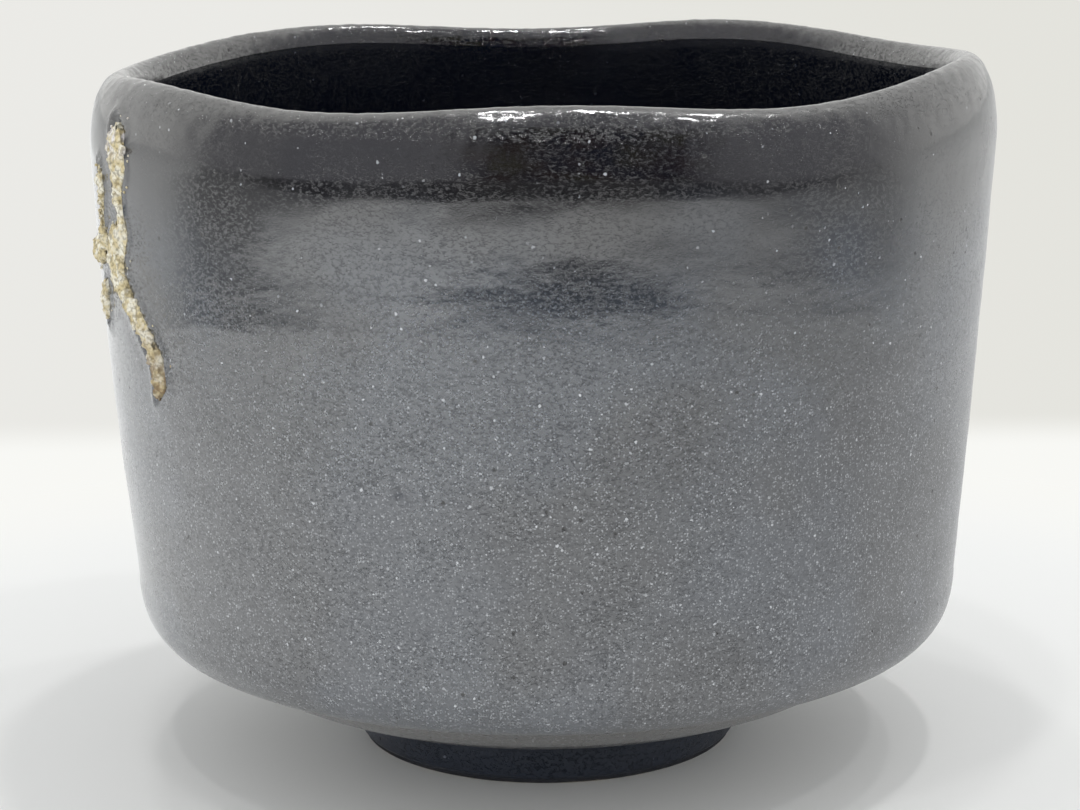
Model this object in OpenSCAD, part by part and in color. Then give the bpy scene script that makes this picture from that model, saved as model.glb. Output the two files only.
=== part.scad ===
// Hand-pinched black tea bowl: a clay wall and floor on a luted foot ring, coated inside and out.
// Millimetres, +Z up. The origin is the centre of the circle that the foot ring stands on.

/* [Bowl] */
// Largest outside diameter, just below the lip
bowl_d = 111.6; // [93:0.2:134]
// Mean height of the lip's crest above the table
lip_h = 86; // [71:0.5:104]
// How far the wall leans out between the hip and the belly
wall_flare = 4; // [2:0.1:6]
// How far the belly, the widest ring, lies below the lip's crest
belly_drop = 9; // [6:0.5:12]

/* [Clay] */
// Thickness of the wall at its foot
wall_t = 5.4; // [4:0.1:6.5]
// Thickness of the lip at the height of the belly
lip_t = 4.6; // [3.8:0.1:6]
// Thickness of the floor inside the foot ring
floor_t = 6.4; // [5:0.1:8]
// Depth of the pool sunk in the middle of the floor
pool_depth = 1.2; // [0.4:0.1:1.6]
// Diameter of that pool
pool_d = 44; // [30:1:50]

/* [Hip] */
// Height of the hip, where the wall starts to turn in
hip_h = 23; // [21:0.5:27]
// How far the trimmed crease under the hip lies in from the wall
crease_inset = 7.2; // [6:0.1:9]
// Height of that crease
crease_h = 13.9; // [12.5:0.1:15]

/* [Foot] */
// Outside diameter of the foot, with its coat
foot_d = 48.4; // [40:0.2:58]
// Height of the foot ring, from the table to the underside
foot_h = 7; // [6:0.1:8.4]
// Width of the foot ring's clay
foot_w = 6.4; // [5:0.1:8]
// Rounding of the foot ring's lower edges
foot_round = 0.6; // [0.5:0.1:1.5]
// Height up to which the foot is wiped bare
wipe_h = 0.7; // [0.6:0.1:2]

/* [Glaze] */
// Thickness of the coat on the bowl
glaze_t = 0.6; // [0.4:0.05:0.8]
// Thickness of the coat on the foot
foot_glaze_t = 0.4; // [0.3:0.05:0.6]
// Gap between the foot's coat and the bowl's coat
seam_gap = 0.15; // [0.1:0.05:0.3]

/* [Lip wave] */
// Height of the five low peaks of the lip
peak_h = 0.7; // [0:0.05:1]
// Depth of the hollows that the fingers left in the wall
pinch_depth = 0.25; // [0:0.05:0.4]

/* [Scar] */
// How far the crust stands proud of the coat
crust_t = 0.9; // [0.5:0.1:1.4]
// Gap between the crust's flat back and the coat
crust_gap = 0.15; // [0.12:0.01:0.25]

/* [Hidden] */

// Number of sides of the shells, and of the foot's round surfaces
sides = 60;
foot_sides = 120;

belly_r = bowl_d / 2;
belly_h = lip_h - belly_drop;
hip_r = belly_r - wall_flare;
crest_r = belly_r - 3.8;
crease_r = hip_r - crease_inset;
foot_r = foot_d / 2;
ring_r = foot_r - foot_glaze_t;
ring_in_r = ring_r - foot_w;
seat_r = foot_r + seam_gap;
floor_h = foot_h + floor_t;
lip_in_r = belly_r - lip_t - 2 * glaze_t;
inner_hip_r = hip_r - wall_t - 2 * glaze_t;
pool_r = pool_d / 2;

// The wall has no wave below wave_from, and the hollows are deepest at pinch_mid.
wave_from = 0.45 * lip_h;
pinch_mid = 0.5 * (hip_h + belly_h);

// Waves of the lip's height round the bowl: [lobes, height, angle of the first peak]
lip_waves = [
    [5, peak_h, -14.3],
    [1, 0.3, 6],
    [2, 0.17, -8],
    [3, 0.27, -9.5],
    [4, 0.19, -36],
    [6, 0.11, -24],
    [7, 0.15, 12]
];

// Hollows of the wall round the bowl: [lobes, share of pinch_depth, angle of the first crest]
pinch_waves = [[3, 0.6, 70], [4, 0.4, 20], [7, 0.3, -10]];

// The crust's strokes, each a list of [angle, drop below the lip, width]
crust_strokes = [
    [[206, 4, 2.6], [208, 7, 4.6], [207.5, 12, 4.4], [206.5, 17, 3.4], [203.5, 20.5, 5],
     [205, 23.2, 3], [209, 25, 2.4], [213, 28, 2], [216, 31, 2.2], [215.6, 34, 2], [214, 36, 1.4]],
    [[199.5, 9.5, 1], [201, 14, 1.2], [199.4, 18, 1.4], [198, 19.2, 1]],
    [[197, 20.6, 1.6], [193.6, 21.4, 2.8], [191, 21.6, 1.6]],
    [[199, 25.2, 1.2], [200, 27, 1.8], [200.6, 28.6, 1]]
];
// Rings between two points of a stroke
stroke_steps = 4;

// ---- curves in the plane of a section, points as [radius, height] ----

function bezier(a, b, c, steps) = [
    for (i = [0 : steps - 1])
        let (t = i / steps)
        (1 - t) * (1 - t) * a + 2 * t * (1 - t) * b + t * t * c
];

function ellipse_arc(centre, rx, rz, from, to, steps) = [
    for (i = [0 : steps - 1])
        let (a = from + (to - from) * i / steps)
        centre + [rx * cos(a), rz * sin(a)]
];

// Surface of the coat outside, from the foot up to the lip's crest
outer_skin = concat(
    [[seat_r, foot_h - glaze_t]],
    bezier([seat_r + 1, foot_h - glaze_t], [crease_r - 8.6, foot_h + 0.2], [crease_r, crease_h], 5),
    bezier([crease_r, crease_h], [hip_r + 0.2, crease_h + 0.7], [hip_r, hip_h], 4),
    bezier([hip_r, hip_h], [hip_r + 0.65 * wall_flare, 0.46 * hip_h + 0.54 * belly_h],
           [belly_r, belly_h], 6),
    ellipse_arc([crest_r, belly_h], belly_r - crest_r, lip_h - belly_h, 0, 90, 5),
    [[crest_r, lip_h]]
);

// Surface of the coat inside, from the crest down to the middle of the pool
inner_skin = concat(
    ellipse_arc([crest_r, lip_h - 4], crest_r - lip_in_r, 4, 90, 180, 4),
    bezier([lip_in_r, lip_h - 4], [lip_in_r - 1.2, 0.5 * lip_h], [inner_hip_r, floor_h + 11], 5),
    bezier([inner_hip_r, floor_h + 11], [inner_hip_r - 0.6, floor_h + 0.6],
           [inner_hip_r - 17, floor_h + 0.2], 5),
    bezier([inner_hip_r - 17, floor_h + 0.2], [pool_r, floor_h],
           [0.4 * pool_r, floor_h - pool_depth], 4),
    [[0.4 * pool_r, floor_h - pool_depth]]
);

skin = concat(outer_skin, [for (i = [1 : len(inner_skin) - 1]) inner_skin[i]]);
last_i = len(skin) - 1;

// The coat outside laps over the crest and ends inside the lip, at this point of the section.
lap_i = len(outer_skin) + 2;

// Outward normal of the skin at point i of the section
function skin_normal(i) =
    let (
        a = skin[max(i - 1, 0)],
        b = skin[min(i + 1, last_i)],
        along = (b - a) / norm(b - a)
    )
    i == 0 || i == last_i ? [0, i == 0 ? -1 : 1] : [along[1], -along[0]];

// Surface of the clay, one coat's thickness under the skin
clay = [for (i = [0 : last_i]) skin[i] - glaze_t * skin_normal(i)];

// ---- from a section to the uneven round of a pinched bowl ----

function smooth(t) =
    let (c = min(max(t, 0), 1))
    c * c * (3 - 2 * c);

function sum(v, i = 0) = i == len(v) ? 0 : v[i] + sum(v, i + 1);

// Rise of a point at height h, which grows up the wall to the full wave at the lip
function lift(angle, h) =
    smooth((h - wave_from) / (lip_h - wave_from))
    * sum([for (w = lip_waves) w[1] * cos(w[0] * (angle - w[2]))]);

// Radial change of a point at height h, none at the hip or the lip
function pinch(angle, h) =
    pinch_depth * smooth(1 - abs(h - pinch_mid) / (pinch_mid - hip_h))
    * sum([for (w = pinch_waves) w[1] * cos(w[0] * (angle - w[2]))]);

function place(p, angle) =
    let (r = p[0] + pinch(angle, p[1]))
    [r * cos(angle), r * sin(angle), p[1] + lift(angle, p[1])];

function turn(section) = [
    for (p = section, k = [0 : sides - 1]) place(p, 360 * k / sides)
];

// Faces of the band between rows a and a + 1, each a pair of triangles with one fixed diagonal
function band(a) = [
    for (k = [0 : sides - 1])
        let (
            n = (k + 1) % sides,
            p = a * sides + k,
            q = a * sides + n,
            r = (a + 1) * sides + n,
            s = (a + 1) * sides + k
        )
        each [[p, q, r], [p, r, s]]
];

function bands(from, to) = [for (a = [from : to - 1]) each band(a)];

function reversed(faces) = [for (f = faces) [f[2], f[1], f[0]]];

// The rings of a section, with a cap on the first ring and another on the last
module solid_turn(section) {
    rows = len(section);
    caps = rows * sides;
    points = concat(turn(section), [[0, 0, section[0][1]], [0, 0, section[rows - 1][1]]]);
    first_cap = [for (k = [0 : sides - 1]) [caps, (k + 1) % sides, k]];
    top = (rows - 1) * sides;
    last_cap = [for (k = [0 : sides - 1]) [caps + 1, top + k, top + (k + 1) % sides]];
    polyhedron(points, reversed(concat(bands(0, rows - 1), first_cap, last_cap)));
}

// A coat between two sections of equal length, closed over its two ends.
// Where its last ring is small, a disc of two caps fills the middle.
module coat_turn(outside, inside, disc) {
    rows = len(outside);
    count = rows * sides;
    shell = concat(turn(outside), turn(inside));
    inner_faces = [for (f = bands(0, rows - 1)) [f[2] + count, f[1] + count, f[0] + count]];
    first_rim = [
        for (k = [0 : sides - 1])
            let (n = (k + 1) % sides)
            each [[k, count + k, count + n], [k, count + n, n]]
    ];
    top = (rows - 1) * sides;
    last_rim = [
        for (k = [0 : sides - 1])
            let (a = top + k, b = top + (k + 1) % sides)
            each [[a, b, count + b], [a, count + b, count + a]]
    ];
    hubs = 2 * count;
    last_disc = [
        for (k = [0 : sides - 1])
            let (a = top + k, b = top + (k + 1) % sides)
            each [[a, b, hubs], [count + b, count + a, hubs + 1]]
    ];
    hub_points = [[0, 0, outside[rows - 1][1]], [0, 0, inside[rows - 1][1]]];
    points = disc ? concat(shell, hub_points) : shell;
    faces = concat(bands(0, rows - 1), inner_faces, first_rim, disc ? last_disc : last_rim);
    polyhedron(points, reversed(faces));
}

// ---- the pieces ----

// Wall and floor: the clay's section, closed by the flat seat of the foot ring
module clay_body() {
    color("#8d8577")
        solid_turn(clay);
}

module foot_ring() {
    color("#968d7e")
        rotate_extrude($fn = foot_sides)
            polygon([
                [ring_in_r + foot_round, 0],
                [ring_r - foot_round, 0],
                [ring_r - 0.3 * foot_round, 0.3 * foot_round],
                [ring_r, foot_round],
                [ring_r, foot_h],
                [ring_in_r, foot_h],
                [ring_in_r, foot_round],
                [ring_in_r + 0.3 * foot_round, 0.3 * foot_round]
            ]);
}

module inner_glaze() {
    color("#15171b")
        coat_turn([for (i = [lap_i : last_i]) skin[i]],
                  [for (i = [lap_i : last_i]) clay[i]], true);
}

module outer_glaze() {
    color("#2b2d30")
        coat_turn([for (i = [0 : lap_i]) skin[i]],
                  [for (i = [0 : lap_i]) clay[i]], false);
}

// Sleeve round the foot ring, from the wiped edge up to the underside
module foot_glaze() {
    color("#1d2026")
        rotate_extrude($fn = foot_sides)
            polygon([
                [ring_r, wipe_h],
                [foot_r, wipe_h + foot_glaze_t],
                [foot_r, foot_h],
                [ring_r, foot_h]
            ]);
}

// Lining of the recess: a sleeve inside the foot ring and a disc under the floor
module recess_glaze() {
    lining_r = ring_in_r - foot_glaze_t;
    color("#1d2026")
        rotate_extrude($fn = foot_sides)
            polygon([
                [ring_in_r, wipe_h],
                [ring_in_r, foot_h],
                [0, foot_h],
                [0, foot_h - foot_glaze_t],
                [lining_r - 1, foot_h - foot_glaze_t],
                [lining_r, foot_h - foot_glaze_t - 1],
                [lining_r, wipe_h + foot_glaze_t]
            ]);
}

// ---- the scar ----

// Radius of the coat's surface at height h of the wall above the hip
function wall_r(h) =
    h > belly_h
    ? crest_r + (belly_r - crest_r) * sqrt(1 - pow((h - belly_h) / (lip_h - belly_h), 2))
    : let (
        bend = 0.65,
        mid_h = 0.46 * hip_h + 0.54 * belly_h,
        a = belly_h - 2 * mid_h + hip_h,
        b = 2 * (mid_h - hip_h),
        t = (-b + sqrt(b * b - 4 * a * (hip_h - h))) / (2 * a)
      )
      hip_r + wall_flare * (2 * bend * t * (1 - t) + t * t);

// Point of the wall at an angle and a drop below the lip, raised by up along the radius
function on_wall(angle, drop, up) = place([wall_r(lip_h - drop) + up, lip_h - drop], angle);

function stroke_stations(stroke) = [
    for (i = [0 : len(stroke) - 2], j = [0 : stroke_steps - 1])
        stroke[i] + (stroke[i + 1] - stroke[i]) * j / stroke_steps,
    stroke[len(stroke) - 1]
];

// One ring of a stroke: a flat back on the coat and a low rounded face
function stroke_ring(s, dir) =
    let (
        per_deg = wall_r(lip_h - s[1]) * PI / 180,
        across = [-dir[1] / per_deg, dir[0]],
        half = s[2] / 2,
        shape = [[-1, 0], [1, 0], [0.8, 0.6], [0, 1], [-0.8, 0.6]]
    )
    [for (q = shape)
        on_wall(s[0] + across[0] * q[0] * half, s[1] + across[1] * q[0] * half,
                crust_gap + crust_t * min(1, s[2] / 2.4) * q[1])];

// Direction of a stroke at station i, as a unit vector along and down the wall
function stroke_dir(stations, i) =
    let (
        a = stations[max(i - 1, 0)],
        b = stations[min(i + 1, len(stations) - 1)],
        step = [(b[0] - a[0]) * wall_r(lip_h - a[1]) * PI / 180, b[1] - a[1]]
    )
    step / norm(step);

module crust_stroke(stroke) {
    stations = stroke_stations(stroke);
    n = len(stations);
    points = [for (i = [0 : n - 1]) each stroke_ring(stations[i], stroke_dir(stations, i))];
    walls = [
        for (i = [0 : n - 2], k = [0 : 4])
            let (a = 5 * i + k, b = 5 * i + (k + 1) % 5)
            each [[a, b, b + 5], [a, b + 5, a + 5]]
    ];
    start = [[2, 1, 0], [3, 2, 0], [4, 3, 0]];
    end = [for (f = start) [f[2] + 5 * (n - 1), f[1] + 5 * (n - 1), f[0] + 5 * (n - 1)]];
    polyhedron(points, concat(walls, start, end));
}

module scar_crust() {
    color("#d8cba6")
        for (stroke = crust_strokes)
            crust_stroke(stroke);
}

clay_body();
foot_ring();
inner_glaze();
outer_glaze();
foot_glaze();
recess_glaze();
scar_crust();
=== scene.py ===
import bmesh
import bpy
import math
import random
from mathutils import Matrix, Vector, noise


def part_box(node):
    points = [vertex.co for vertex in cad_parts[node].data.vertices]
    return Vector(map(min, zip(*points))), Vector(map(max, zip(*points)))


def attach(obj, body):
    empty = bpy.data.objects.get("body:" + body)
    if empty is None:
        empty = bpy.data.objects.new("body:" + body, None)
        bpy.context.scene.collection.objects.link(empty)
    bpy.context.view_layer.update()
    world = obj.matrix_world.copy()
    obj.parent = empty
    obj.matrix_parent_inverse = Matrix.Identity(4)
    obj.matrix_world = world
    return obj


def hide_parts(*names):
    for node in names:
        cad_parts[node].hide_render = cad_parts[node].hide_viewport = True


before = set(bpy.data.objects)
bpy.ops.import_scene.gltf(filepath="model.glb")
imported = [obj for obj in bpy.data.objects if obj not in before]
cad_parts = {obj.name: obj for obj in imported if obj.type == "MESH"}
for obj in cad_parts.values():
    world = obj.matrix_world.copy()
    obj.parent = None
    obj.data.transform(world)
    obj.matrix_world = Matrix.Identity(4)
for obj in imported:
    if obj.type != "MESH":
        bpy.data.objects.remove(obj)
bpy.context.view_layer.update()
mm = 0.001

# ---- The coat outside ----
# A black glaze brushed over the whole wall. It starts at the foot, climbs the trimmed
# underside and the wall, and laps over the lip's crest. The wall under it was pinched by hand,
# so it keeps shallow hollows, and the glaze dries into a fine skin like orange peel, with pits.
coat_low, coat_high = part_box("outer_glaze")
ring_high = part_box("foot_ring")[1]
sleeve_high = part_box("foot_glaze")[1]
coat_t = 0.6 * mm
lip_h = 86 * mm
belly_r = (coat_high.x - coat_low.x) / 2
belly_h = lip_h - 9 * mm
hip_r = belly_r - 4 * mm
hip_h = 23 * mm
crest_r = belly_r - 3.8 * mm
crease_r = hip_r - 7.2 * mm
crease_h = 13.9 * mm
foot_h = ring_high.z
coat_start_r = sleeve_high.x + 0.15 * mm
lip_in_r = belly_r - 5.8 * mm
lip_in_h = lip_h - 4 * mm
lap_end = 157.5
inner_hip_r = hip_r - 6.6 * mm
floor_h = foot_h + 6.4 * mm
inner_hip_h = floor_h + 11 * mm
floor_edge_r = inner_hip_r - 17 * mm
pool_r = 22 * mm
pool_h = floor_h - 1.2 * mm


def bezier(a, b, c, steps):
    """Points of a quadratic curve from a towards c, without c."""
    a, b, c = Vector(a), Vector(b), Vector(c)
    shares = [i / steps for i in range(steps)]
    return [(1 - t) ** 2 * a + 2 * t * (1 - t) * b + t ** 2 * c for t in shares]


def ellipse_arc(centre, across, up, start, end, steps):
    """Points of an ellipse's arc between two angles in degrees, without the last."""
    angles = [math.radians(start + (end - start) * i / steps) for i in range(steps)]
    return [Vector((centre[0] + across * math.cos(a), centre[1] + up * math.sin(a))) for a in angles]


def smooth(t):
    """A soft step from 0 to 1."""
    t = min(max(t, 0), 1)
    return t * t * (3 - 2 * t)


# Waves round the bowl: (lobes, size, angle of the first peak in degrees)
lip_waves = [(5, 0.7, -14.3), (1, 0.3, 6), (2, 0.17, -8), (3, 0.27, -9.5), (4, 0.19, -36),
             (6, 0.11, -24), (7, 0.15, 12)]
pinch_waves = [(3, 0.6, 70), (4, 0.4, 20), (7, 0.3, -10)]
pinch_depth = 0.25 * mm
wave_from = 0.45 * lip_h
pinch_mid = (hip_h + belly_h) / 2


def wave(waves, angle):
    """The sum of the waves at an angle round the bowl."""
    return sum(size * math.cos(lobes * (angle - math.radians(peak))) for lobes, size, peak in waves)


def lift(angle, h):
    """How far the lip's wave raises a point at height h."""
    return smooth((h - wave_from) / (lip_h - wave_from)) * wave(lip_waves, angle) * mm


def pinch(angle, h):
    """How far the fingers moved the wall in or out at height h."""
    share = smooth(1 - abs(h - pinch_mid) / (pinch_mid - hip_h))
    return pinch_depth * share * wave(pinch_waves, angle)


def outside_curve(fine):
    """The coat's outer surface in section, from the foot up to the crest of the lip."""
    return [
        *[Vector((coat_start_r + i / 2 * mm, foot_h - coat_t)) for i in range(2)],
        *bezier((coat_start_r + 1 * mm, foot_h - coat_t), (crease_r - 8.6 * mm, foot_h + 0.2 * mm),
                (crease_r, crease_h), int(22 * fine)),
        *bezier((crease_r, crease_h), (hip_r + 0.2 * mm, crease_h + 0.7 * mm),
                (hip_r, hip_h), int(18 * fine)),
        *bezier((hip_r, hip_h), (hip_r + 2.6 * mm, 0.46 * hip_h + 0.54 * belly_h),
                (belly_r, belly_h), int(72 * fine)),
        *ellipse_arc((crest_r, belly_h), belly_r - crest_r, lip_h - belly_h, 0, 90, int(22 * fine)),
    ]


def lip_curve(fine):
    """The lip's inner turn in section, from the crest down to where the lap ends."""
    turn = ellipse_arc((crest_r, lip_in_h), crest_r - lip_in_r, lip_h - lip_in_h, 90, lap_end,
                       int(9 * fine))
    return turn + inside_curve(fine)[:1]


def inside_curve(fine):
    """The coat's inner surface in section, from the end of the lap to the middle of the pool."""
    return [
        *ellipse_arc((crest_r, lip_in_h), crest_r - lip_in_r, lip_h - lip_in_h, lap_end, 180,
                     int(3 * fine)),
        *bezier((lip_in_r, lip_in_h), (lip_in_r - 1.2 * mm, lip_h / 2),
                (inner_hip_r, inner_hip_h), int(60 * fine)),
        *bezier((inner_hip_r, inner_hip_h), (inner_hip_r - 0.6 * mm, floor_h + 0.6 * mm),
                (floor_edge_r, floor_h + 0.2 * mm), int(26 * fine)),
        *bezier((floor_edge_r, floor_h + 0.2 * mm), (pool_r, floor_h),
                (0.4 * pool_r, pool_h), int(20 * fine)),
        *bezier((0.4 * pool_r, pool_h), (0.2 * pool_r, pool_h), (0, pool_h), int(9 * fine)),
        Vector((0, pool_h)),
    ]


def pushed_back(curve, depth):
    """The curve moved inwards by depth, away from the side its normal points to."""
    moved = []
    for i, point in enumerate(curve):
        along = (curve[min(i + 1, len(curve) - 1)] - curve[max(i - 1, 0)]).normalized()
        moved.append(point + Vector((-along.y, along.x)) * depth)
    return moved


def spun(face, back, steps):
    """A closed shell: the section's face and back, turned once round the bowl's axis.

    The layer "face" is 1 on the vertices of the face, and 0 on those of the back.
    """
    shell = bmesh.new()
    on_face = shell.verts.layers.float.new("face")
    corners = []
    for share, curve in ((1, face), (0, back)):
        for r, h in curve:
            corner = shell.verts.new((r, 0, h))
            corner[on_face] = share
            corners.append(corner)
    edges = [shell.edges.new(pair) for pair in zip(corners, corners[1:] + corners[:1])]
    bmesh.ops.spin(shell, geom=corners + edges, axis=(0, 0, 1), cent=(0, 0, 0), dvec=(0, 0, 0),
                   angle=math.tau, steps=steps, use_merge=True)
    bmesh.ops.remove_doubles(shell, verts=shell.verts, dist=0.002 * mm)
    bmesh.ops.recalc_face_normals(shell, faces=shell.faces)
    return shell


def placed(shell, relief):
    """Gives the turned shell the wave of the lip, the pinched wall and the relief of its face."""
    on_face = shell.verts.layers.float["face"]
    shell.normal_update()
    moves = []
    for corner in shell.verts:
        x, y, h = corner.co
        angle = math.atan2(y, x)
        out = Vector((math.cos(angle), math.sin(angle), 0))
        move = out * pinch(angle, h) * (1 if x or y else 0) + Vector((0, 0, lift(angle, h)))
        if corner[on_face] > 0.5:
            move += corner.normal * relief(corner.co, angle, h)
        moves.append(move)
    for corner, move in zip(shell.verts, moves):
        corner.co += move


def finished(name, shell, sharp_from=50):
    """Turns the worked mesh into a piece that rides on the bowl."""
    mesh = bpy.data.meshes.new(name)
    shell.to_mesh(mesh)
    shell.free()
    mesh.shade_smooth()
    mesh.set_sharp_from_angle(angle=math.radians(sharp_from))
    piece = bpy.data.objects.new(name, mesh)
    bpy.context.collection.objects.link(piece)
    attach(piece, "root")
    return piece


# The scar's strokes: points of (angle in degrees, drop below the lip in mm, width in mm)
scar_strokes = [
    [(206.8, 5.3, 3.4), (208.2, 7, 4.8), (208.3, 9.8, 3.8), (207.2, 12.6, 2.2), (207.8, 15.4, 1.7),
     (207.8, 17.6, 2.6), (204.4, 20.4, 6.4), (205.2, 23, 4.2), (208.5, 25.6, 3), (212, 28.6, 2.9),
     (214.6, 31.4, 3.2), (215, 33.6, 2.9), (213.6, 36, 1.4)],
    [(200.2, 10.2, 1.4), (200.6, 12.6, 2.2), (199.6, 15.6, 1.2), (199, 18.2, 1.8), (201, 20.4, 3)],
    [(199.4, 20.2, 2.6), (195.6, 20.8, 3.4), (191.5, 21.4, 2.4)],
    [(198.6, 24, 1.6), (197.8, 26.4, 3), (197.8, 29.2, 1.6)],
]
arc_per_degree = math.radians(1) * belly_r


def past_scar(angle, h):
    """Distance outside the nearest stroke's edge on the unrolled wall, below 0 inside it."""
    spot = Vector((math.degrees(angle) % 360 * arc_per_degree, h))
    nearest = 1
    for stroke in scar_strokes:
        for (a, da, wa), (b, db, wb) in zip(stroke, stroke[1:]):
            start = Vector((a * arc_per_degree, lip_h - da * mm))
            run = Vector((b * arc_per_degree, lip_h - db * mm)) - start
            share = min(max((spot - start).dot(run) / run.length_squared, 0), 1)
            gap = (spot - start - run * share).length - (wa + (wb - wa) * share) / 2 * mm
            nearest = min(nearest, gap)
    return nearest


# Pits large enough to have a form of their own: (angle in degrees, height, radius in mm)
pits = [(252.2, 44.2, 0.75), (253.6, 43.2, 0.5), (229.9, 35.3, 0.6),
        (294, 24.5, 0.5), (262, 25, 0.5), (70, 40, 0.7), (118, 58, 0.6),
        (152, 33, 0.7), (5, 47, 0.6), (332, 29, 0.5)]


def pit_depth(angle, h):
    """Depth of the pits at a point of the wall."""
    depth = 0
    for pit_angle, pit_h, radius in pits:
        across = (math.degrees(angle) - pit_angle + 180) % 360 - 180
        if abs(across) < 2:
            share = math.hypot(across * arc_per_degree, h - pit_h * mm) / (radius * mm)
            depth = max(depth, radius * 0.7 * mm * smooth(1.3 - share))
    return depth


# Marks of the fingers: (angle, half width in degrees, height, half height in mm, rise in mm)
finger_marks = [
    (268, 26, 69.8, 3.8, -0.2), (272, 19, 60.5, 4.2, 0.16), (225, 24, 69, 6, -0.1),
    (222, 24, 57.5, 4.5, 0.14), (240, 16, 66, 3, -0.06), (310, 26, 66, 9, 0.1),
    (300, 30, 48, 9, -0.12), (90, 40, 66, 7, -0.15), (130, 30, 50, 8, 0.12), (20, 30, 58, 8, -0.14),
]


def finger_mark(angle, h):
    """Height of the finger marks at a point of the wall."""
    total = 0
    for middle, half_width, mark_h, half_height, rise in finger_marks:
        away = ((math.degrees(angle) - middle + 180) % 360 - 180) / half_width
        total += rise * math.exp(-away ** 2 - ((h / mm - mark_h) / half_height) ** 2 / 2)
    return total * mm


crease_ridge = 0.16 * mm
torn_rim = 0.28 * mm
torn_bed = 0.3 * mm


def outside_relief(co, angle, h):
    """Height of the coat's own unevenness over the even skin."""
    flat = Vector((co.x, co.y, co.z * 2.4))
    slow = noise.noise(flat / (21 * mm)) * 0.1
    ridges = noise.noise(Vector((co.x, co.y, co.z * 4)) / (13 * mm) + Vector((7, 0, 0))) * 0.05
    peel = noise.noise(co / (1.3 * mm)) * (0.012 + 0.06 * smooth((h - 80 * mm) / (3 * mm)))
    wall = smooth((h - crease_h) / (2 * mm))
    height = (slow * wall + ridges * wall + peel) * mm + finger_mark(angle, h)
    height += crease_ridge * math.exp(-((h - crease_h) / (0.45 * mm)) ** 2)
    height -= pit_depth(angle, h)
    if 185 < math.degrees(angle) % 360 < 222 and h > 45 * mm:
        gap = past_scar(angle, h)
        if gap < 2 * mm:
            height += torn_rim * smooth(1 - abs(gap - 0.35 * mm) / (0.7 * mm))
            height -= torn_bed * smooth(-gap / (0.5 * mm))
    return height


outside_face = outside_curve(1) + lip_curve(1)
outside_back = pushed_back(outside_curve(0.2) + lip_curve(0.4), coat_t)
outside = spun(outside_face, outside_back[::-1], 560)
placed(outside, outside_relief)
outer_coat = finished("outer_coat", outside)
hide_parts("outer_glaze")


def node(tree, kind, inputs=(), **settings):
    """Adds a shader node. An input is a value or the output of another node."""
    made = tree.nodes.new(kind)
    for name, value in settings.items():
        setattr(made, name, value)
    for name, value in dict(inputs).items():
        if isinstance(value, bpy.types.NodeSocket):
            tree.links.new(value, made.inputs[name])
        else:
            made.inputs[name].default_value = value
    return made


def calc(tree, operation, *values):
    """The result of a Math node."""
    return node(tree, "ShaderNodeMath", dict(enumerate(values)), operation=operation).outputs[0]


def mapped(tree, value, low, high, to_low=0.0, to_high=1.0):
    """A value's smooth step from one range to another."""
    made = node(tree, "ShaderNodeMapRange", {"Value": value, "From Min": low, "From Max": high,
                "To Min": to_low, "To Max": to_high}, interpolation_type="SMOOTHSTEP")
    return made.outputs[0]


def mixed(tree, share, first, second):
    """A colour between two others."""
    made = node(tree, "ShaderNodeMix", {0: share, 6: first, 7: second}, data_type="RGBA")
    return made.outputs[2]


def noised(tree, place, size, detail=2.0, roughness=0.5):
    """Noise whose lumps are about size across, in metres."""
    made = node(tree, "ShaderNodeTexNoise", {"Vector": place, "Scale": 1 / size,
                "Detail": detail, "Roughness": roughness})
    return made.outputs["Fac"]


def new_group(name, inputs, outputs):
    """An empty node group. Inputs are (name, default), outputs are (name, socket type)."""
    group = bpy.data.node_groups.new(name, "ShaderNodeTree")
    for label, default in inputs:
        kind = "NodeSocketColor" if isinstance(default, tuple) else "NodeSocketFloat"
        socket = group.interface.new_socket(label, in_out="INPUT", socket_type=kind)
        socket.default_value = default
    for label, kind in outputs:
        group.interface.new_socket(label, in_out="OUTPUT", socket_type=kind)
    return group


# The glaze's own grain: pale specks, which are painted glints of its tiny bumps, dark pinholes, and
# its uneven skin.
grit = new_group(
    "glaze_grain",
    [("Base", (0.015, 0.015, 0.017, 1)), ("Speck", (0.3, 0.3, 0.28, 1)), ("Speck amount", 0.2),
     ("Pinholes", 0.02), ("Roughness", 0.25), ("Rough variation", 0.1), ("Peel", 1.0)],
    [("Color", "NodeSocketColor"), ("Roughness", "NodeSocketFloat"), ("Height", "NodeSocketFloat")],
)
given = node(grit, "NodeGroupInput").outputs
place = node(grit, "ShaderNodeTexCoord").outputs["Object"]
wobble = node(grit, "ShaderNodeTexNoise", {"Vector": place, "Scale": 1 / (0.3 * mm), "Detail": 1})
shifted = node(grit, "ShaderNodeVectorMath", {0: wobble.outputs["Color"], 1: (0.35 * mm,) * 3},
               operation="MULTIPLY").outputs[0]
loose = node(grit, "ShaderNodeVectorMath", {0: place, 1: shifted}).outputs[0]
speck_cells = node(grit, "ShaderNodeTexVoronoi", {"Vector": loose, "Scale": 1 / (0.55 * mm)})
speck_draw = node(grit, "ShaderNodeSeparateColor", {0: speck_cells.outputs["Color"]}).outputs
speck_size = mapped(grit, speck_draw[1], 0, 1, 0.1, 0.33)
speck_shape = calc(grit, "LESS_THAN", speck_cells.outputs["Distance"], speck_size)
speck_share = calc(grit, "ADD", calc(grit, "MULTIPLY", given["Speck amount"], 0.45), 0.03)
speck_kept = calc(grit, "LESS_THAN", speck_draw[0], speck_share)
speck = calc(grit, "MULTIPLY", speck_shape, speck_kept)
speck_strength = calc(grit, "MULTIPLY", speck, calc(grit, "POWER", speck_draw[2], 2.5))
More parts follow.
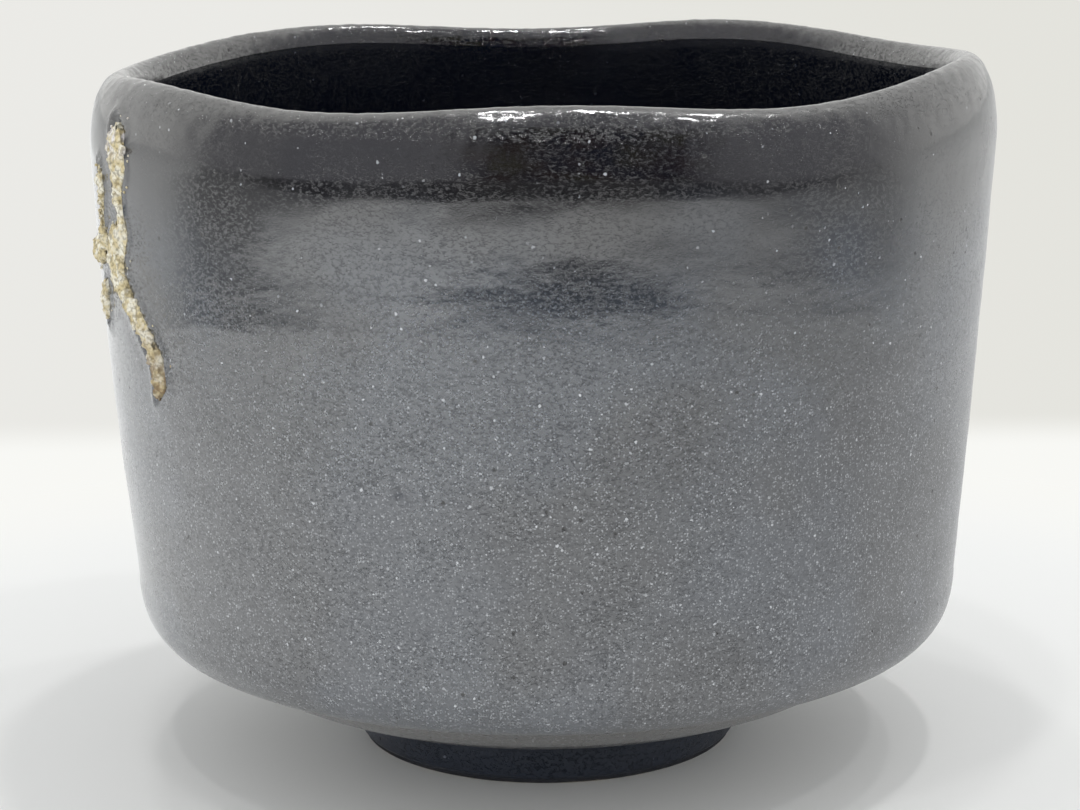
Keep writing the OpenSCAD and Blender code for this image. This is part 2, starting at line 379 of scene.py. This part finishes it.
salt_cells = node(grit, "ShaderNodeTexVoronoi", {"Vector": loose, "Scale": 1 / (0.27 * mm)})
salt_draw = node(grit, "ShaderNodeSeparateColor", {0: salt_cells.outputs["Color"]}).outputs[0]
salt_shape = mapped(grit, salt_cells.outputs["Distance"], 0.25, 0.6, 1, 0)
salt = calc(grit, "MULTIPLY", calc(grit, "POWER", salt_draw, 2.4), salt_shape)
fine_glints = calc(grit, "MULTIPLY", salt, given["Speck amount"])
hole_cells = node(grit, "ShaderNodeTexVoronoi", {"Vector": loose, "Scale": 1 / (1.9 * mm)})
hole_draw = node(grit, "ShaderNodeSeparateColor", {0: hole_cells.outputs["Color"]}).outputs
hole_kept = calc(grit, "LESS_THAN", hole_draw[0], given["Pinholes"])
hole_shape = mapped(grit, hole_cells.outputs["Distance"], 0.08, 0.15, 1, 0)
hole = calc(grit, "MULTIPLY", hole_kept, hole_shape)
# Painted glints: the pale specks lighten the colour.
pale = calc(grit, "MAXIMUM", speck_strength, fine_glints)
tinted = mixed(grit, pale, given["Base"], given["Speck"])
tinted = mixed(grit, hole, tinted, (0.002, 0.002, 0.002, 1))
patchy = mapped(grit, noised(grit, place, 9 * mm, 3, 0.6), 0.35, 0.65, -1, 1)
unevenness = calc(grit, "MULTIPLY", patchy, given["Rough variation"])
shine = calc(grit, "ADD", given["Roughness"], unevenness)
shine = calc(grit, "ADD", shine, calc(grit, "MULTIPLY", hole, 0.4))
flat = node(grit, "ShaderNodeMapping", {"Vector": loose, "Scale": (1, 1, 1.7)}).outputs[0]
ragged = noised(grit, flat, 0.55 * mm, 4, 0.72)
clusters = mapped(grit, noised(grit, place, 7 * mm, 2), 0.35, 0.62, 0.35, 1)
dimple_depth = calc(grit, "MULTIPLY", clusters, 0.1 * mm)
dimples = calc(grit, "MULTIPLY", mapped(grit, ragged, 0.48, 0.36), dimple_depth)
swell = calc(grit, "MULTIPLY", noised(grit, flat, 2.2 * mm, 1), 0.06 * mm)
skin = calc(grit, "MULTIPLY", calc(grit, "SUBTRACT", swell, dimples), given["Peel"])
grains = calc(grit, "MULTIPLY", calc(grit, "ADD", fine_glints, speck_strength), 0.06 * mm)
height = calc(grit, "ADD", skin, grains)
height = calc(grit, "SUBTRACT", height, calc(grit, "MULTIPLY", hole, 0.25 * mm))
node(grit, "NodeGroupOutput", {"Color": tinted, "Roughness": shine, "Height": height})


def new_material(name):
    """An empty material and its tree, with a Principled shader on its output."""
    material = bpy.data.materials.new(name)
    material.use_nodes = True
    tree = material.node_tree
    tree.nodes.clear()
    shader = node(tree, "ShaderNodeBsdfPrincipled")
    node(tree, "ShaderNodeOutputMaterial", {"Surface": shader.outputs[0]})
    return material, tree, shader


def grained(tree, inputs):
    """The glaze's grain in this material, with its own values."""
    made = node(tree, "ShaderNodeGroup", node_tree=grit)
    for name, value in inputs.items():
        if isinstance(value, bpy.types.NodeSocket):
            tree.links.new(value, made.inputs[name])
        else:
            made.inputs[name].default_value = value
    return made.outputs


def join(tree, output, shader, name):
    """Links an output to one of the shader's inputs."""
    tree.links.new(output, shader.inputs[name])


def bumped(tree, shader, height):
    """Raises the surface by a height in metres."""
    bump = node(tree, "ShaderNodeBump", {"Height": height, "Distance": 1, "Strength": 1})
    join(tree, bump.outputs[0], shader, "Normal")


def glazed(tree, shader, grain):
    """Gives the shader the grain's colour, roughness and height."""
    join(tree, grain["Color"], shader, "Base Color")
    join(tree, grain["Roughness"], shader, "Roughness")
    bumped(tree, shader, grain["Height"])


outside_glaze, tree, shader = new_material("black_glaze_outside")
shader.inputs["IOR"].default_value = 2.3
shader.inputs["Coat Weight"].default_value = 0.6
shader.inputs["Coat Roughness"].default_value = 0.1
place = node(tree, "ShaderNodeTexCoord").outputs["Object"]
along, _, up = node(tree, "ShaderNodeSeparateXYZ", {0: place}).outputs
cloud = noised(tree, place, 14 * mm, 3)
wavy_up = calc(tree, "ADD", up, calc(tree, "MULTIPLY", calc(tree, "SUBTRACT", cloud, 0.5), 12 * mm))
# Grey-blue low and near black in a band under the lip: partly the glaze's own tone, and partly
# painted reflection, of the white table below and of the dark figure in the band.
painted_reflection_band = mapped(tree, wavy_up, 66 * mm, 78 * mm)
body = mixed(tree, painted_reflection_band, (0.038, 0.046, 0.06, 1), (0.004, 0.004, 0.006, 1))
low_cloud = mapped(tree, noised(tree, place, 24 * mm, 2), 0.42, 0.62)
body = mixed(tree, calc(tree, "MULTIPLY", low_cloud, 0.55), body, (0.015, 0.014, 0.0135, 1))
under = mapped(tree, up, crease_h, crease_h - 0.8 * mm)
body = mixed(tree, under, body, (0.036, 0.031, 0.026, 1))
# A painted highlight: a pale line along the crease's ridge.
painted_crease_highlight = calc(tree, "MULTIPLY", mapped(tree, up, crease_h - 0.5 * mm, crease_h),
                   mapped(tree, up, crease_h + 0.9 * mm, crease_h + 0.2 * mm))
body = mixed(tree, painted_crease_highlight, body, (0.33, 0.325, 0.315, 1))
wall_roughness = mapped(tree, wavy_up, 38 * mm, 60 * mm, 0.28, 0.13)
right_roughness = mapped(tree, along, 5 * mm, 45 * mm, 0, 0.12)
wall_peel = calc(tree, "MULTIPLY", mapped(tree, wavy_up, 40 * mm, 60 * mm, 0.6, 1),
                 mapped(tree, wavy_up, 66 * mm, 75 * mm, 1, 0.15))
lip_peel = mapped(tree, up, 82.5 * mm, 84.5 * mm, 0, 1.8)
grain = grained(tree, {
    "Base": body,
    "Speck": (0.55, 0.57, 0.6, 1),
    # Painted glints: many low on the wall, few in the dark band under the lip.
    "Speck amount": mapped(tree, wavy_up, 40 * mm, 76 * mm, 0.6, 0.05),
    "Pinholes": 0.12,
    "Roughness": calc(tree, "ADD", wall_roughness, right_roughness),
    "Rough variation": 0.04,
    "Peel": calc(tree, "ADD", wall_peel, lip_peel),
})
glazed(tree, shader, grain)
outer_coat.data.materials.append(outside_glaze)

# ---- The coat inside ----
# The same glaze, poured into the bowl and swirled out. It is blacker than the coat outside, starts
# under the lap of the lip, and dips a little in the middle of the floor.


def inside_relief(co, angle, h):
    """Height of the inside's unevenness: slow finger marks up the wall, and a fine skin."""
    slow = noise.noise(Vector((co.x, co.y, co.z * 2)) / (17 * mm)) * 0.12
    peel = noise.noise(co / (2 * mm)) * 0.02
    away = smooth((lip_h - 3 * mm - h) / (4 * mm))
    return (slow + peel) * away * mm


inside_face = inside_curve(1)
inside_back = pushed_back(inside_curve(0.25), coat_t)
inside_back[-1] = Vector((0, pool_h - coat_t))
inside = spun(inside_face, inside_back[::-1], 400)
placed(inside, inside_relief)
inner_coat = finished("inner_coat", inside)
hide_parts("inner_glaze")

inside_glaze, tree, shader = new_material("black_glaze_inside")
shader.inputs["IOR"].default_value = 1.45
grain = grained(tree, {
    "Base": (0.0004, 0.0014, 0.005, 1),
    "Speck": (0.05, 0.055, 0.07, 1),
    "Speck amount": 0.06,
    "Pinholes": 0.015,
    "Roughness": 0.18,
    "Rough variation": 0.04,
    "Peel": 0.8,
})
glazed(tree, shader, grain)
inner_coat.data.materials.append(inside_glaze)

# ---- The clay: wall and floor, and the foot ring ----
# Coarse grey-buff clay with fine sand in it. The wall and floor were pinched from one lump, and
# the ring was luted under the floor and trimmed. Its colour is near black on all but the face it
# stands on.
clay, tree, shader = new_material("fired_clay")
place = node(tree, "ShaderNodeTexCoord").outputs["Object"]
cloud = mapped(tree, noised(tree, place, 7 * mm, 4, 0.6), 0.3, 0.7)
sand = mapped(tree, noised(tree, place, 0.5 * mm, 2), 0.55, 0.7)
tone = mixed(tree, cloud, (0.2, 0.165, 0.13, 1), (0.3, 0.26, 0.21, 1))
tone = mixed(tree, sand, tone, (0.42, 0.38, 0.31, 1))
up = node(tree, "ShaderNodeSeparateXYZ", {0: place}).outputs["Z"]
# Near black above the lowest 0.15 to 0.35 mm, with an edge that wanders with the cloud.
near_black_edge_up = calc(tree, "ADD", up, calc(tree, "MULTIPLY", cloud, 0.2 * mm))
near_black_above_face = mapped(tree, near_black_edge_up, 0.15 * mm, 0.35 * mm)
tone = mixed(tree, near_black_above_face, tone, (0.016, 0.017, 0.022, 1))
join(tree, tone, shader, "Base Color")
join(tree, mapped(tree, cloud, 0, 1, 0.8, 0.95), shader, "Roughness")
rough_skin = calc(tree, "MULTIPLY", noised(tree, place, 0.6 * mm, 4, 0.65), 0.25 * mm)
bumped(tree, shader, rough_skin)
for name in ("clay_body", "foot_ring"):
    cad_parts[name].data.materials.clear()
    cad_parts[name].data.materials.append(clay)

# ---- The coats on the foot ----
# A thin coat of the same glaze on the ring's flank and in its recess, wiped off the edge that
# the bowl stands on. It lies in the bowl's shade and stays the blackest part of the outside.
foot_glaze, tree, shader = new_material("black_glaze_foot")
grain = grained(tree, {
    "Base": (0.009, 0.014, 0.026, 1),
    "Speck": (0.1, 0.11, 0.14, 1),
    "Speck amount": 0.12,
    "Pinholes": 0.03,
    "Roughness": 0.4,
    "Rough variation": 0.08,
    "Peel": 1.2,
})
glazed(tree, shader, grain)
for name in ("foot_glaze", "recess_glaze"):
    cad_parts[name].data.materials.clear()
    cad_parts[name].data.materials.append(foot_glaze)

# ---- The scar ----
# Cream grit that stuck to the wall in the kiln and tore the glaze: a head, a trail that leans to
# the front, a side branch, a knob and a small patch. Each is a rough strip set with loose grains.
scar_random = random.Random(5)


def on_wall(angle, drop, up):
    """A point of the coat's surface, raised by up. Angle in degrees, drop below the lip."""
    h = lip_h - drop
    turn = math.radians(angle)
    if h > belly_h:
        r = crest_r + (belly_r - crest_r) * math.sqrt(1 - ((h - belly_h) / (lip_h - belly_h)) ** 2)
    else:
        curve = outside_curve(1)
        pairs = [(a, b) for a, b in zip(curve, curve[1:]) if a.y <= h < b.y]
        a, b = pairs[-1]
        r = a.x + (b.x - a.x) * (h - a.y) / (b.y - a.y)
    r += pinch(turn, h) + up
    return Vector((r * math.cos(turn), r * math.sin(turn), h + lift(turn, h)))


def stations(stroke, step):
    """Points along a stroke, step apart: (angle, drop, width, direction), lengths in metres."""
    made = []
    for (a, da, wa), (b, db, wb) in zip(stroke, stroke[1:]):
        run = Vector(((b - a) * arc_per_degree, (db - da) * mm))
        count = max(1, round(run.length / step))
        for i in range(count):
            t = i / count
            made.append((a + (b - a) * t, (da + (db - da) * t) * mm, (wa + (wb - wa) * t) * mm,
                         run.normalized()))
    return made


def beside(station, side, up):
    """The wall's point at a distance to the side of a station, raised by up."""
    angle, drop, _, along = station
    return on_wall(angle - along.y * side / arc_per_degree, drop + along.x * side, up)


scar = bmesh.new()
round_strip = scar.verts.layers.float.new("round_strip")
for stroke in scar_strokes:
    ring = bmesh.ops.create_circle(scar, segments=22, radius=1)["verts"]
    for corner in ring:
        corner[round_strip] = math.atan2(corner.co.y, corner.co.x)
    edges = list(dict.fromkeys(edge for corner in ring for edge in corner.link_edges))
    first_edges = edges
    line = stations(stroke, 0.22 * mm)
    for i, station in enumerate(line):
        if i:
            edges = bmesh.ops.extrude_edge_only(scar, edges=edges)["geom"]
            ring = [item for item in edges if isinstance(item, bmesh.types.BMVert)]
            edges = [item for item in edges if isinstance(item, bmesh.types.BMEdge)]
        taper = math.sqrt(smooth((min(i, len(line) - 1 - i) + 1) / 5))
        for corner in ring:
            turn = corner[round_strip]
            ragged = 1 + 0.8 * noise.noise(Vector((math.cos(turn) * 2, i * 0.22, station[1] * 90)))
            side = math.cos(turn) * station[2] / 2 * taper * ragged
            up = max(math.sin(turn), -0.3) * min(0.75 * mm, station[2] * 0.3) * taper
            corner.co = beside(station, side, up)
    for loop in (first_edges, edges):
        bmesh.ops.edgeloop_fill(scar, edges=loop)
bmesh.ops.recalc_face_normals(scar, faces=scar.faces)
scar.normal_update()
for corner in scar.verts:
    lump = 0.5 - noise.voronoi(corner.co / (0.55 * mm))[0][0]
    gap = noise.noise(corner.co / (1.1 * mm))
    corner.co += corner.normal * (lump * 0.5 + gap * 0.45) * mm
for stroke in scar_strokes:
    for station in stations(stroke, 0.3 * mm):
        for _ in range(3):
            size = scar_random.uniform(0.1, 0.27) * mm
            side = scar_random.gauss(0, 0.34) * station[2]
            raised = scar_random.uniform(0, 0.55) * mm * max(0, 1 - abs(side) / mm)
            spot = beside(station, side, raised)
            turn = scar_random.uniform(0, math.tau)
            tilt = Matrix.Rotation(turn, 4, "XYZ"[scar_random.randrange(3)])
            long, wide = scar_random.uniform(0.7, 1.5), scar_random.uniform(0.6, 1.1)
            stretch = Matrix.Diagonal((long, wide, 1, 1))
            bmesh.ops.create_icosphere(scar, subdivisions=1, radius=size,
                                       matrix=Matrix.Translation(spot) @ tilt @ stretch)
scar_grit = finished("scar_grit", scar, 80)
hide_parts("scar_crust")

crust, tree, shader = new_material("cream_kiln_grit")
place = node(tree, "ShaderNodeTexCoord").outputs["Object"]
up = node(tree, "ShaderNodeSeparateXYZ", {0: place}).outputs["Z"]
patches = mapped(tree, noised(tree, place, 1.5 * mm, 3, 0.6), 0.36, 0.6)
tone = mixed(tree, patches, (0.86, 0.83, 0.72, 1), (0.66, 0.56, 0.33, 1))
glassy = calc(tree, "MULTIPLY", mapped(tree, up, 77 * mm, 80 * mm),
              mapped(tree, noised(tree, place, 2 * mm, 1), 0.4, 0.55))
tone = mixed(tree, glassy, tone, (0.8, 0.77, 0.78, 1))
# The grit turns darker brown towards the bottom of the scar.
darker_low = calc(tree, "MULTIPLY", mapped(tree, up, 61 * mm, 51 * mm),
             mapped(tree, noised(tree, place, 0.9 * mm, 2), 0.4, 0.6, 0.4, 1))
tone = mixed(tree, darker_low, tone, (0.24, 0.16, 0.085, 1))
# Painted shade: the gaps between the grains are darkened.
grain_cells = node(tree, "ShaderNodeTexVoronoi", {"Vector": place, "Scale": 1 / (0.42 * mm)})
painted_crevice_shade = mapped(tree, grain_cells.outputs["Distance"], 0.42, 0.8, 0, 0.6)
tone = mixed(tree, painted_crevice_shade, tone, (0.2, 0.16, 0.09, 1))
join(tree, tone, shader, "Base Color")
shader.inputs["Roughness"].default_value = 0.85
rough_skin = calc(tree, "MULTIPLY", noised(tree, place, 0.3 * mm, 3), 0.15 * mm)
bumped(tree, shader, rough_skin)
scar_grit.data.materials.append(crust)

# ---- The table ----
# A white-topped table. The lit top round the bowl takes its shadows, and further off it glows in a
# pale tone, painted darker towards the right. In the glaze's mirror the top ends near the bowl, with
# the darker room beyond it, and it is painted lighter on the left and darker on the right.
table_mesh = bmesh.new()
bmesh.ops.create_grid(table_mesh, x_segments=1, y_segments=1, size=6)
mesh = bpy.data.meshes.new("table")
table_mesh.to_mesh(mesh)
table_mesh.free()
table = bpy.data.objects.new("table", mesh)
bpy.context.collection.objects.link(table)

table_top, tree, shader = new_material("white_table")
place = node(tree, "ShaderNodeTexCoord").outputs["Object"]
part = node(tree, "ShaderNodeSeparateXYZ", {0: place}).outputs
rays = node(tree, "ShaderNodeLightPath").outputs
front_edge = -0.29
side_edge = 0.245
past_front = mapped(tree, part["Y"], front_edge, front_edge - 0.02)
past_side = mapped(tree, calc(tree, "ABSOLUTE", part["X"]), side_edge, side_edge + 0.015)
beyond = mixed(tree, past_front, (0.2, 0.2, 0.205, 1), (0.02, 0.018, 0.02, 1))
beyond = mixed(tree, mapped(tree, part["Y"], -0.03, 0.1), beyond, (0.7, 0.7, 0.69, 1))
past_any = calc(tree, "MAXIMUM", past_front, past_side)
past_mirrored = calc(tree, "MULTIPLY", past_any, rays["Is Glossy Ray"])
# Painted light and shade: in the mirror the top is lighter on the left and darker on the right.
painted_falloff_to_right = mapped(tree, part["X"], -0.15, 0.15)
mirrored = mixed(tree, painted_falloff_to_right, (1, 1, 0.99, 1), (0.66, 0.66, 0.655, 1))
top = mixed(tree, rays["Is Glossy Ray"], (0.83, 0.83, 0.815, 1), mirrored)
top = mixed(tree, past_mirrored, top, beyond)
join(tree, top, shader, "Base Color")
shader.inputs["Roughness"].default_value = 0.6
shader.inputs["Specular IOR Level"].default_value = 0.2
from_bowl = node(tree, "ShaderNodeVectorMath", {0: place}, operation="LENGTH").outputs["Value"]
far = calc(tree, "MULTIPLY", mapped(tree, from_bowl, 0.1, 0.15), rays["Is Camera Ray"])
# Painted shade: the far top's glow is darker towards the right.
backdrop_shaded_to_right = mixed(tree, mapped(tree, part["X"], -0.2, 0.2), (0.83, 0.825, 0.795, 1),
                  (0.775, 0.77, 0.725, 1))
far_tone = mixed(tree, mapped(tree, part["Y"], 0.15, 0.18), (0.94, 0.94, 0.91, 1), backdrop_shaded_to_right)
far_shader = node(tree, "ShaderNodeEmission", {"Color": far_tone, "Strength": 1})
either = node(tree, "ShaderNodeMixShader", {0: far, 1: shader.outputs[0], 2: far_shader.outputs[0]})
output = next(made for made in tree.nodes if made.type == "OUTPUT_MATERIAL")
tree.links.new(either.outputs[0], output.inputs["Surface"])
table.data.materials.append(table_top)

# ---- The room and its lamps ----
# Pale walls behind and beside the bowl, a dark figure's width in front of it, and small round
# lamps in the ceiling, up to about 30 degrees off overhead, whose soft shadows cross on the table.
world = bpy.data.worlds.new("room")
bpy.context.scene.world = world
world.use_nodes = True
tree = world.node_tree
tree.nodes.clear()
rays = node(tree, "ShaderNodeLightPath").outputs
way = node(tree, "ShaderNodeTexCoord").outputs["Generated"]
part = node(tree, "ShaderNodeSeparateXYZ", {0: way}).outputs
in_front = mapped(tree, part["Y"], -0.3, -0.7)
off_figure = calc(tree, "ABSOLUTE", calc(tree, "SUBTRACT", part["X"], 0.15))
narrow = mapped(tree, off_figure, 0.6, 0.35)
low = mapped(tree, part["Z"], 0.8, 0.6)
figure = calc(tree, "MULTIPLY", calc(tree, "MULTIPLY", in_front, narrow), low)
front_half = mapped(tree, part["Y"], 0.3, -0.1)
room = mixed(tree, front_half, (0.9, 0.9, 0.88, 1), (0.27, 0.27, 0.29, 1))
blots = mapped(tree, noised(tree, way, 0.16, 2), 0.4, 0.6)
cloth = mixed(tree, blots, (0.035, 0.014, 0.013, 1), (0.004, 0.008, 0.03, 1))
folds = mapped(tree, noised(tree, way, 0.23, 1), 0.5, 0.62)
cloth = mixed(tree, folds, cloth, (0.05, 0.045, 0.022, 1))
room = mixed(tree, figure, room, cloth)
seen = node(tree, "ShaderNodeBackground", {"Color": (0.8, 0.79, 0.75, 1), "Strength": 1})
mirrored = node(tree, "ShaderNodeBackground", {"Color": room, "Strength": 1})
fill = node(tree, "ShaderNodeBackground", {"Color": (0.985, 1, 1.01, 1),
            "Strength": mapped(tree, part["Z"], 0, 0.55, 2.5, 0.6)})
lit = node(tree, "ShaderNodeMixShader", {0: rays["Is Glossy Ray"], 1: fill.outputs[0],
           2: mirrored.outputs[0]})
either = node(tree, "ShaderNodeMixShader", {0: rays["Is Camera Ray"], 1: lit.outputs[0],
              2: seen.outputs[0]})
node(tree, "ShaderNodeOutputWorld", {"Surface": either.outputs[0]})

# Each lamp: how far it stands off to the right and back for each metre up, and its share
lamps = [
    (-0.075, -0.086, 0.065),
    (0.153, 0.04, 0.11),
    (0.43, 0.23, 0.055),
    (0.52, -0.22, 0.055),
    (-0.117, 0.143, 0.06),
    (-0.156, -0.27, 0.06),
]
ceiling = 2
lamp_across = 0.11
for i, (right, back, share) in enumerate(lamps):
    light = bpy.data.lights.new(f"lamp_{i}", "AREA")
    light.shape = "DISK"
    light.size = lamp_across
    spot = Vector((right, back, 1)) * ceiling
    light.energy = share * math.pi ** 2 * spot.length_squared
    lamp = bpy.data.objects.new(f"lamp_{i}", light)
    lamp.location = spot
    lamp.rotation_euler = (-spot).to_track_quat("-Z", "Y").to_euler()
    bpy.context.collection.objects.link(lamp)

# ---- The camera ----
# It stands in front of the bowl, a little higher than the lip, and looks slightly down. It leans
# over by half a degree.
camera_place = (-0.66 * mm, -359.5 * mm, 122.7 * mm)
look_down = 12.62
lean = -0.5
scene = bpy.context.scene
camera_data = bpy.data.cameras.new("camera")
camera_data.sensor_width = 36
camera_data.lens = 96.7
camera = bpy.data.objects.new("camera", camera_data)
camera.location = camera_place
camera.rotation_mode = "QUATERNION"
pitched = Matrix.Rotation(math.radians(90 - look_down), 3, "X")
leaning = Matrix.Rotation(math.radians(lean), 3, "Z")
camera.rotation_quaternion = (pitched @ leaning).to_quaternion()
bpy.context.collection.objects.link(camera)
scene.camera = camera
scene.view_settings.view_transform = "Standard"
